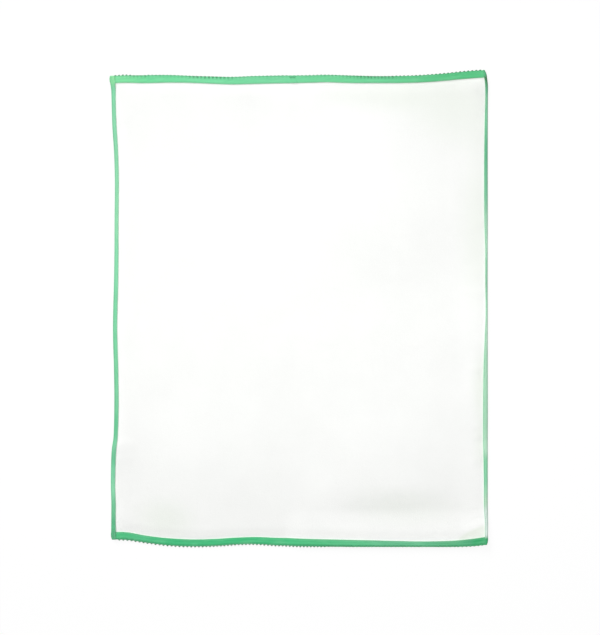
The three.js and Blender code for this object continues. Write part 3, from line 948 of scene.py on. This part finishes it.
class TowelSizes(bpy.types.PropertyGroup):
    """Sizes that can change without changing how the towel lies."""

    pile_pitch: size_property("Pile pitch", "Distance between the loops of the pile", 1.0)
    pile_height: size_property("Pile height", "Depth of the pile's bumps", 0.35)
    rib_pitch: size_property("Rib pitch", "Distance between the ribs of the tape", 0.5)
    stitch: size_property("Stitch", "Length of a stitch that shows", 2.5)
    stitch_pitch: size_property("Stitch pitch", "Distance between stitches", 3.0)
    thread: size_property("Thread", "Thickness of the sewing thread", 0.3)
    seam_inset: size_property("Seam inset", "From an edge of the tape to its stitches", SEAM_INSET)
    picot_width: size_property("Picot width", "Distance between the feet of a picot", 2.3)
    picot_reach: size_property("Picot reach", "How far a picot stands out", 1.5)
    picot_yarn: size_property("Picot yarn", "Thickness of the picot yarn", 1.2)
    picot_bar: size_property("Picot bar", "From a picot to the bar of its strands", 2.9)


class TowelColours(bpy.types.PropertyGroup):
    """Colours of the cloth, the tape, the thread and the picot yarn."""

    cloth: colour_property("Cloth", "White of the towelling", "253 254 252")
    # Colour of the duller patches, and of the painted shade between the pile's loops.
    cloth_dull_and_shaded: colour_property("Cloth shade", "Its slightly duller patches", "249 250 248")
    # Colour of the painted shade in patches of the cloth.
    cloth_painted_shade: colour_property("Cloth painted shade", "Where the pile leans away", "241 246 238")
    # Random paler patches of the tape, and its painted light on the inner halves of the side tapes and
    # on the right tape's outer side.
    tape_faded_and_lit: colour_property("Tape light", "Paler, faded places of the tape", "158 226 184")
    # Painted shade: darker streaks of soft creases, and the outer half of the left tape's fold.
    tape_painted_shade: colour_property("Tape shade", "Streaks and creases of the tape", "84 170 120")
    # Painted shade on the rolled outer edges of the end tapes.
    tape_outer_shade: colour_property("Tape deep", "Outer edges of the end tapes", "46 138 92")
    # Painted shade, greyer, along the inner edges of the end tapes.
    tape_inner_shade: colour_property("Tape edge", "Inner edges of the end tapes", "150 188 160")
    thread: colour_property("Thread", "Sewing thread", "100 196 142")
    join: colour_property("Join thread", "Darker thread of the zigzag over the join", "58 136 92")
    # Green yarn, darker than the tape, made darker still by painted shade.
    picot: colour_property("Picot yarn", "Yarn of the picots", "44 126 80")
    strand: colour_property("Picot strand", "Fine strands of the picots", "118 206 154")


class TowelStage(bpy.types.PropertyGroup):
    """Light and view."""

    key: bpy.props.FloatProperty(
        name="Key", description="Strength of the soft key light from the upper left", default=2.4
    )
    overhead: bpy.props.FloatProperty(
        name="Overhead", description="Power of the large lamp overhead", default=11.9, unit="POWER"
    )
    ambient: bpy.props.FloatProperty(
        name="Ambient", description="Strength of the even light from all round", default=0.1
    )
    view_height: bpy.props.FloatProperty(
        name="View height",
        description="Length on the surface from the bottom to the top of the picture",
        default=1.0065,
        unit="LENGTH",
    )
    lens: bpy.props.FloatProperty(name="Lens", description="Focal length", default=60.0)


# ---- The pieces ----


def stations(low, high, step, *near):
    """Places from low to high, evenly a step apart, with extra ones near the ends."""
    count = max(int(round((high - low) / step)), 1)
    return np.unique(np.round(np.concatenate([np.linspace(low, high, count + 1), *near]), 4))


def open_distance(s, t):
    """How far a point is from the nearest side tape and from the nearest end tape."""
    from_side = WIDTH / 2 - np.abs(s) - side_face(np.sign(s), t)
    from_end = LENGTH / 2 - np.abs(t) - end_face(np.sign(t), s)
    return from_side, from_end


def cloth_unevenness(s, t):
    """Small ups and downs of the face: seam puckers, mounds and the cloth's own softness."""
    from_side, from_end = open_distance(s, t)
    near_side = np.exp(-np.clip(from_side, 0, None) / SEAM_REACH)
    near_end = np.exp(-np.clip(from_end, 0, None) / SEAM_REACH)
    drawn = near_side * (rough(s / 4, t, 6.5, 1.5) + 0.4) + near_end * (rough(s, t / 4, 7.5, 4.5) + 0.4)
    soft = SOFT_SWELL * (rough(s, t, 70, 7.5) + 0.5) + SOFT_RIPPLE * (rough(s, t, 24, 9.5) + 0.5)
    open_cloth = ease(np.minimum(from_side, from_end) / 6)
    return np.clip(SEAM_PUCKER * drawn + soft + mounds(PUCKERS, s, t), 0, None) * open_cloth


# Lines of the cloth's grid: how far in from a tape the close ones are, and the first even one.
CLOSE_LINES = np.array([0.3, 0.8, 1.4, 2.0, 2.8, 4.0, 5.6, 7.6, 10.2, 13.4])
EVEN_FROM = 16.8
ROWS, COLUMNS = 206, 166


def grid_lines(low, high, inner_low, inner_high, count):
    """Lines of a grid from one cut edge to the other: evenly under the two tapes, closer beside
    them, and a count of them in the middle. Its limits are numbers or arrays of numbers."""
    under = np.linspace(0, 1, 5)
    start, stop = inner_low + EVEN_FROM, inner_high - EVEN_FROM
    lines = [low + (inner_low - low) * share for share in under]
    lines += [inner_low + inset for inset in CLOSE_LINES]
    lines += [start + (stop - start) * share for share in np.linspace(0, 1, count)]
    lines += [inner_high - inset for inset in CLOSE_LINES[::-1]]
    lines += [high + (inner_high - high) * share for share in under[::-1]]
    return np.stack(lines)


def cloth_grid():
    """The places of the cloth's grid on the pattern, as rows of s and of t."""
    far, cut = LENGTH / 2 - END_CUT, WIDTH / 2 - SIDE_CUT
    edge, fold = LENGTH / 2, WIDTH / 2
    t = grid_lines(-far, far, end_face(-1, 0) - edge, edge - end_face(1, 0), ROWS)
    s = grid_lines(-cut, cut, side_face(-1, t) - fold, fold - side_face(1, t), COLUMNS).T
    middle = s[len(t) // 2]
    return s, grid_lines(-far, far, end_face(-1, middle) - edge, edge - end_face(1, middle), ROWS)


def sheet_faces(count, across):
    """Faces of a closed sheet whose points are the rows of its face, then those of its underside."""
    below = count * across
    index = np.arange(below).reshape(count, across)
    a, b = index[:-1, :-1], index[:-1, 1:]
    c, d = index[1:, 1:], index[1:, :-1]
    upper = np.stack([a, b, c, d], axis=-1).reshape(-1, 4)
    lower = np.stack([a, d, c, b], axis=-1).reshape(-1, 4) + below
    rim = np.concatenate([index[0, :-1], index[:-1, -1], index[-1, :0:-1], index[:0:-1, 0]])
    following = np.roll(rim, -1)
    wall = np.stack([rim, rim + below, following + below, following], axis=-1)
    return np.concatenate([upper, lower, wall]).tolist()


class TOWEL_OT_cloth(bpy.types.Operator):
    """Make the white towelling, a closed sheet that lies on the surface"""

    bl_idname = "towel.cloth"
    bl_label = "Towelling"

    def execute(self, context):
        s, t = cloth_grid()
        bottom = ride_at(s, t)
        from_side, from_end = open_distance(s, t)
        clear = (np.minimum(from_side, from_end) - PRESS_START) / (PILE_RISE - PRESS_START)
        held = HELD_THIN * ease((LANDING - from_side) / LANDING)
        thick = PRESSED + (CLOTH - held - PRESSED) * ease(clear)
        bumps = cloth_unevenness(s, t)
        face = lay(s, t, bottom + thick + bumps)
        under = lay(s, t, bottom + bumps * UNDER_SHARE)
        points = np.concatenate([face.reshape(-1, 3), under.reshape(-1, 3)])
        piece = make_piece("cloth_sheet", points, sheet_faces(*s.shape))
        # Where the towelling is painted darker, as painted shade.
        add_layer(piece.data, "painted_shade", np.tile(mounds(PAINTED_SHADE, s, t).ravel(), 2))
        piece.data.materials.append(towelling())
        place_piece(piece, "towel_cloth", "towel_cloth")
        return {"FINISHED"}


def tape_thickness(across, face, seam):
    """The upper side of a tape, with its edges turned in and drawn down by the stitches."""
    inward = np.minimum(across, face - across)
    rounded = np.sqrt(np.clip(1 - (1 - np.clip(inward / EDGE_ROUND, 0, 1)) ** 2, 0, 1))
    single = TURN_THICK * ease((inward - TURNED_IN) / TURN_RUN)
    drawn = SEAM_DIP * np.exp(-(((inward - seam) / SEAM_SOFT) ** 2))
    return TAPE * (0.3 + 0.7 * rounded) - single - drawn * rounded


def finish_tape(word, length, rings, weave, flat):
    """Makes a tape of its rings of points and hands it to the frame. length is the pattern's along
    it. flat, its own width and length in millimetres, is not used."""
    piece = loft("tape_" + word, rings)
    add_layer(piece.data, "weave", weave.reshape(-1, 3))
    piece.data.materials.append(tape_finish(word, length * MM))
    place_piece(piece, "binding_tape", "binding_tape_" + word)
    flat = tuple(size * MM for size in flat)


# How far in from each edge of an end tape its outer lines are.
END_NEAR = np.array([0, 0.06, 0.2, 0.45, 0.8, 1.2, 1.6, 2.1, 2.8, 3.5])


class TOWEL_OT_end_tapes(bpy.types.Operator):
    """Make the flat tapes along the top and bottom of the face"""

    bl_idname = "towel.end_tapes"
    bl_label = "End tapes"

    def tape(self, word, end):
        seam = bpy.context.scene.towel_sizes.seam_inset / MM
        edge = end * LENGTH / 2
        stop = WIDTH / 2 - SIDE_CUT - TAPE_SHORT
        ramps = LAP_RAMP * np.array([-1, -0.5, 0])
        lap = [LAP_FROM + ramps, LAP_TO - ramps] if end > 0 else []
        s = stations(-stop, stop, TAPE_STEP, *lap)[:, None]
        face = end_face(end, s)
        middle = END_NEAR[-1] + (face - 2 * END_NEAR[-1]) * np.array([0.25, 0.5, 0.75])
        upper = np.hstack([END_NEAR + 0 * face, middle, face - END_NEAR[::-1]])
        lower = np.hstack([face - BEVEL, face * 0.7, face * 0.4, 0 * face + BEVEL])
        across = np.hstack([upper, lower])
        place = np.broadcast_to(s, across.shape)
        pulled = PULLED * rough(place, across * 0.4, 5.5, 11.5 + end)
        wander = 0.15 * rough(place, across * 0, 26, 13.5 + end)
        top = tape_thickness(across, face, seam) + pulled + lap_height(place, end)
        is_upper = np.arange(across.shape[1]) < upper.shape[1]
        t = edge - end * (across + wander * across / face)
        z = ride_at(place, t) + TAPE_SEAT + np.where(is_upper, top, 0.0)
        weave = np.stack([place * MM, across * MM, across / face], axis=-1)
        flat = (END_WIDTH, WIDTH - 2 * SIDE_CUT)
        finish_tape(word, WIDTH, lay(place, t, z), weave, flat)

    def execute(self, context):
        self.tape("top", 1)
        self.tape("bottom", -1)
        return {"FINISHED"}


def side_section(face, stack):
    """Section of a side tape at each place along it, as [inset, height, share across the face]. It
    starts at the free edge of the under leg and goes round the outside first."""
    under = SIDE_LEGS - face
    inner = RIDE + PRESSED + TOUCH + stack
    height = inner + TAPE
    middle = height / 2
    roll = np.minimum(np.minimum(face, under) / 2, ROLL)
    points = [(under, 0.25, 0.0), (under - 0.25, 0.0, 0.0)]
    points += [(roll + (under - roll) * share, 0.0, 0.0) for share in (0.7, 0.35)]
    for angle in np.radians(np.linspace(-90, 90, 15)):
        inset = roll * (1 - math.cos(angle))
        points.append((inset, middle * (1 + math.sin(angle)), inset / face))
    for share in (0.15, 0.3, 0.45, 0.58, 0.7, 0.82, 0.92):
        inset = roll + (face - roll) * share
        drawn = SIDE_DIP * np.exp(-(((face - inset - SEAM_INSET) / SEAM_SOFT) ** 2))
        points.append((inset, height - drawn, inset / face))
    points += [(face - 0.12, height - 0.1, 1.0), (face, height - 0.35, 1.0)]
    points += [(face, inner + 0.25, 1.0), (face - 0.3, inner, 1.0), (FOLD_WALL + 0.6, inner, 1.0)]
    points += [(FOLD_WALL, inner - 0.5, 1.0), (FOLD_WALL, TAPE + 0.5, 0.0)]
    points += [(FOLD_WALL + 0.6, TAPE, 0.0), (under - 0.3, TAPE, 0.0), (under, TAPE - 0.25, 0.0)]
    return [np.stack([value + 0 * face for value in column], axis=1) for column in zip(*points)]


def drawn_in(from_end):
    """How far the fold of a side tape is drawn in: rounded at its ends, with a slight bulge after."""
    return 1.1 * np.exp(-((from_end / 2.4) ** 2)) - 0.5 * np.exp(-(((from_end - 8) / 3.5) ** 2))


class TOWEL_OT_side_tapes(bpy.types.Operator):
    """Make the tapes that are folded over the left and right edges"""

    bl_idname = "towel.side_tapes"
    bl_label = "Side tapes"

    def tape(self, word, side):
        t = stations(-LENGTH / 2, LENGTH / 2, TAPE_STEP)
        inset, z, share = side_section(side_face(side, t), stack_height(side, t))
        along = np.broadcast_to(t[:, None], inset.shape)
        z = z + PULLED * rough(along, inset * 0.4, 5.5, 21.5 + side) * share
        shifted = inset + 0.12 * rough(along, inset * 0, 24, 23.5 + side) * (inset / 8)
        shifted = shifted + drawn_in(LENGTH / 2 - np.abs(along)) * np.clip(1 - inset / 3, 0, 1)
        rings = lay(side * (WIDTH / 2 - shifted), along, z)
        weave = np.stack([along * MM, inset * MM, share], axis=-1)
        finish_tape(word, LENGTH, rings, weave, (SIDE_WIDTH, LENGTH))

    def execute(self, context):
        self.tape("left", -1)
        self.tape("right", 1)
        return {"FINISHED"}


def up_vectors(places):
    """Unit vectors that point up, one for each place."""
    return np.tile([0.0, 0.0, 1.0], (len(places), 1))


def edge_vectors(line, turn):
    """Unit vectors square to a line in the plane of the towel, to its left (1) or right (-1)."""
    step = np.gradient(line, axis=0)
    out = np.stack([-step[:, 1], step[:, 0], np.zeros(len(line))], axis=-1) * turn
    return out / np.linalg.norm(out, axis=1)[:, None]


def picot_places(word, stop):
    """Where the picots stand on the pattern, from the first one to before a stop."""
    places = [PICOT_START[word]]
    while places[-1] < stop:
        places.append(places[-1] + float(between(PICOT_STEP, "s", word, places[-1])))
    return np.array(places[:-1])


PICOT_CLEAR = 2.5       # from the last picot to the side tape
PICOT_SEAT = 0.5        # height of a picot over the underside of the tape
CURLED_OVER = 120       # degrees from which a picot lies over the tape
CURLED_BACK = 0.3       # how far in from the edge it then stands
CURLED_UP = 0.6         # and how much higher


class TOWEL_OT_picots(bpy.types.Operator):
    """Make the picot edgings beyond the top and bottom tapes"""

    bl_idname = "towel.picots"
    bl_label = "Picot edgings"

    def execute(self, context):
        sizes = context.scene.towel_sizes
        look = context.scene.towel_colours
        tree = picot_tree()
        finish = yarn_finish("picot_yarn", look.picot, look.strand, twist=0.001)
        for word, end in (("top", 1), ("bottom", -1)):
            edge = end * LENGTH / 2
            s = picot_places(word, WIDTH / 2 - float(side_face(1, edge)) - PICOT_CLEAR)
            curl = between(PICOT_LIE, "s", word + "_curl", s)
            over = ease(curl / CURLED_OVER)
            z = ride_at(s, edge) + TAPE_SEAT + PICOT_SEAT + CURLED_UP * over
            line = lay(s, edge - end * CURLED_BACK * over, z)
            layers = {
                "up": [up_vectors(s)],
                "out": [edge_vectors(line, end)],
                "curl": [np.radians(curl)],
                "reach": [between(PICOT_LIE, "s", word, s)],
                "fade": [between(PICOT_LIE, "s", word + "_fade", s)],
            }
            inputs = {
                "Width": sizes.picot_width,
                "Reach": sizes.picot_reach,
                "Yarn": sizes.picot_yarn,
                "Bar": sizes.picot_bar,
                "Seed": 5 + end,
                "Material": finish,
            }
            name = "picots_" + word
            piece = grow(name, path_mesh(name, [line], layers), tree, inputs)
            place_piece(piece, "picot_yarn", "picot_edging_" + word)
        return {"FINISHED"}


STITCH_PATH = 2.0       # between the points of a row of stitches
END_CLEAR = 10.0        # how far a row of an end tape stops short of the pattern's sides
SIDE_CLEAR = 14.0       # and a row of a side tape of its ends
ZIGZAG_SWING = (1.4, 4.4)   # how far in from the top edge the zigzag turns
ZIGZAG_TURNS = 9
ZIGZAG_THREAD = 0.9     # thickness of its doubled thread
ZIGZAG_HEIGHT = 0.12    # of the middle of that thread over the tape


def row_places(length, clear):
    """Places of the points of a row of stitches along one side of the pattern."""
    return np.arange(clear - length / 2, length / 2 - clear + 0.5, STITCH_PATH)


class TOWEL_OT_stitching(bpy.types.Operator):
    """Make the rows of stitches that hold the tapes, and the zigzag over the join of the top tape"""

    bl_idname = "towel.stitching"
    bl_label = "Stitching"

    def rows(self, word, lines):
        """Stitches along some lines, as one piece."""
        sizes = bpy.context.scene.towel_sizes
        ups = [up_vectors(line) for line in lines]
        inputs = {
            "Pitch": sizes.stitch_pitch,
            "Stitch": sizes.stitch,
            "Thread": sizes.thread,
            "Seed": len(word),
            "Material": self.thread,
        }
        name = "stitching_" + word
        piece = grow(name, path_mesh(name, lines, {"up": ups}), self.row_tree, inputs)
        place_piece(piece, "sewing_thread")

    def join(self, look, seam):
        """A darker zigzag where the ends of the top tape overlap."""
        s = np.linspace(LAP_FROM, LAP_TO - 0.5, ZIGZAG_TURNS)
        across = np.resize(ZIGZAG_SWING, ZIGZAG_TURNS)
        top = TAPE_SEAT + tape_thickness(across, end_face(1, s), seam) + lap_height(s, 1)
        line = lay(s, LENGTH / 2 - across, top + ZIGZAG_HEIGHT)
        finish = yarn_finish("join_thread", look.join, look.join, twist=0.0006)
        inputs = {"Thread": ZIGZAG_THREAD * MM, "Material": finish}
        piece = grow("stitching_join", path_mesh("join", [line], {}), thread_tree(), inputs)
        place_piece(piece, "sewing_thread")

    def execute(self, context):
        look = context.scene.towel_colours
        seam = context.scene.towel_sizes.seam_inset / MM
        self.row_tree = stitch_tree()
        self.thread = yarn_finish("sewing_thread", look.thread, look.thread, twist=0.0005)
        for word, end in (("top", 1), ("bottom", -1)):
            s = row_places(WIDTH, END_CLEAR)
            face = end_face(end, s)
            lines = []
            for across in (seam + 0 * face, face - seam):
                t = end * (LENGTH / 2 - across)
                top = tape_thickness(across, face, seam) + lap_height(s, end)
                lines.append(lay(s, t, ride_at(s, t) + TAPE_SEAT + top))
            self.rows(word, lines)
        for word, side in (("left", -1), ("right", 1)):
            t = row_places(LENGTH, SIDE_CLEAR)
            s = side * (WIDTH / 2 - side_face(side, t) + seam)
            top = RIDE + PRESSED + TOUCH + TAPE + stack_height(side, t) - SIDE_DIP
            self.rows(word, [lay(s, t, top)])
        self.join(look, seam)
        return {"FINISHED"}


# ---- The stage ----


VIEW_MIDDLE = (0.2, -12.0)              # what the camera looks at, from the pattern's middle, in mm
FLOOR_HALF = 6.0                        # half the side of the floor, in metres
FLOOR_COLOUR = (0.1, 0.1, 0.1, 1.0)     # what takes the shadows
FLOOR_GLOW = 0.91                       # what the camera sees besides
KEY_HEIGHT = math.radians(27)           # of the key light above the floor
KEY_TURN = math.radians(122)            # of the key light round from +X
KEY_SPREAD = math.radians(25)           # how large it looks, which softens its shadows
LAMP_SIZE = (2.2, 1.2)                  # of the lamp overhead, in metres
LAMP_PLACE = (-0.15, 0.13, 1.0)
CORNERS = [(-1, -1), (1, -1), (1, 1), (-1, 1)]


def seen_directly(graph):
    """1 for what the camera, a reflection or clear glass shows, and 0 for light on other things."""
    path = graph.node("ShaderNodeLightPath", output="Is Camera Ray")
    return path + path.other("Is Glossy Ray") + path.other("Is Transmission Ray")


class TOWEL_OT_stage(bpy.types.Operator):
    """Make the floor, the soft light and the camera above the towel"""

    bl_idname = "towel.stage"
    bl_label = "Stage"

    def execute(self, context):
        stage = context.scene.towel_stage
        self.camera(context, stage)
        self.floor()
        self.light(context, stage)
        context.scene.view_settings.view_transform = "Standard"
        return {"FINISHED"}

    def camera(self, context, stage):
        data = bpy.data.cameras.new("view_from_above")
        data.lens = stage.lens
        data.sensor_width = 36.0
        camera = add_object("view_from_above", data)
        distance = stage.view_height * stage.lens / data.sensor_width
        x, y = VIEW_MIDDLE
        camera.location = ((x + SHIFT_X) * MM, (y + SHIFT_Y) * MM, distance)
        context.scene.camera = camera

    def floor(self):
        corners = [(x * FLOOR_HALF, y * FLOOR_HALF, 0) for x, y in CORNERS]
        mesh = bpy.data.meshes.new("floor")
        mesh.from_pydata(corners, [], [(0, 1, 2, 3)])
        floor = add_object("floor", mesh)
        material, graph = start_material("pale_floor")
        matt = graph.node("ShaderNodeBsdfDiffuse", {"Color": FLOOR_COLOUR})
        sockets = {"Color": WHITE, "Strength": seen_directly(graph) * FLOOR_GLOW}
        glow = graph.node("ShaderNodeEmission", sockets)
        shader = graph.node("ShaderNodeAddShader", {0: matt, 1: glow})
        graph.node("ShaderNodeOutputMaterial", {"Surface": shader})
        mesh.materials.append(material)

    def light(self, context, stage):
        world = bpy.data.worlds.new("soft_studio")
        world.use_nodes = True
        world.node_tree.nodes.clear()
        graph = Graph(world.node_tree)
        seen = seen_directly(graph)
        sockets = {"Color": WHITE, "Strength": seen + (1 - seen) * stage.ambient}
        background = graph.node("ShaderNodeBackground", sockets)
        graph.node("ShaderNodeOutputWorld", {"Surface": background})
        context.scene.world = world
        level = math.cos(KEY_HEIGHT)
        x, y = level * math.cos(KEY_TURN), level * math.sin(KEY_TURN)
        towards = Vector((x, y, math.sin(KEY_HEIGHT)))
        sun = bpy.data.lights.new("key", "SUN")
        sun.energy = stage.key
        sun.angle = KEY_SPREAD
        self.lamp(sun, towards * 3, towards)
        soft = bpy.data.lights.new("overhead", "AREA")
        soft.energy = stage.overhead
        soft.shape = "RECTANGLE"
        soft.size, soft.size_y = LAMP_SIZE
        self.lamp(soft, Vector(LAMP_PLACE), Vector((0.0, 0.0, 1.0)))

    def lamp(self, data, place, towards):
        """A lamp at a place. It shines away from a direction."""
        lamp = add_object(data.name, data)
        lamp.location = place
        lamp.rotation_mode = "QUATERNION"
        lamp.rotation_quaternion = (towards * -1).to_track_quat("-Z", "Y")
        lamp.visible_camera = False


class TOWEL_PT_panel(bpy.types.Panel):
    """The towel's sizes, colours and makers"""

    bl_idname = "TOWEL_PT_panel"
    bl_label = "Bound Bath Towel"
    bl_space_type = "VIEW_3D"
    bl_region_type = "UI"
    bl_category = "Towel"

    def draw(self, context):
        layout = self.layout
        for group in ("towel_sizes", "towel_colours", "towel_stage"):
            box = layout.box()
            settings = getattr(context.scene, group)
            for name in settings.__annotations__:
                box.prop(settings, name)
        for maker in MAKERS:
            layout.operator(maker.bl_idname)


MAKERS = (
    TOWEL_OT_stage,
    TOWEL_OT_cloth,
    TOWEL_OT_end_tapes,
    TOWEL_OT_side_tapes,
    TOWEL_OT_picots,
    TOWEL_OT_stitching,
)
SETTINGS = {"towel_sizes": TowelSizes, "towel_colours": TowelColours, "towel_stage": TowelStage}


def register():
    for group in (*SETTINGS.values(), *MAKERS, TOWEL_PT_panel):
        bpy.utils.register_class(group)
    for name, group in SETTINGS.items():
        setattr(bpy.types.Scene, name, bpy.props.PointerProperty(type=group))


def unregister():
    for name in SETTINGS:
        delattr(bpy.types.Scene, name)
    for group in (TOWEL_PT_panel, *reversed(MAKERS), *reversed(list(SETTINGS.values()))):
        bpy.utils.unregister_class(group)


def main():
    """Makes everything."""
    register()
    for maker in MAKERS:
        group, name = maker.bl_idname.split(".")
        getattr(getattr(bpy.ops, group), name)()


if __name__ == "__main__":
    main()
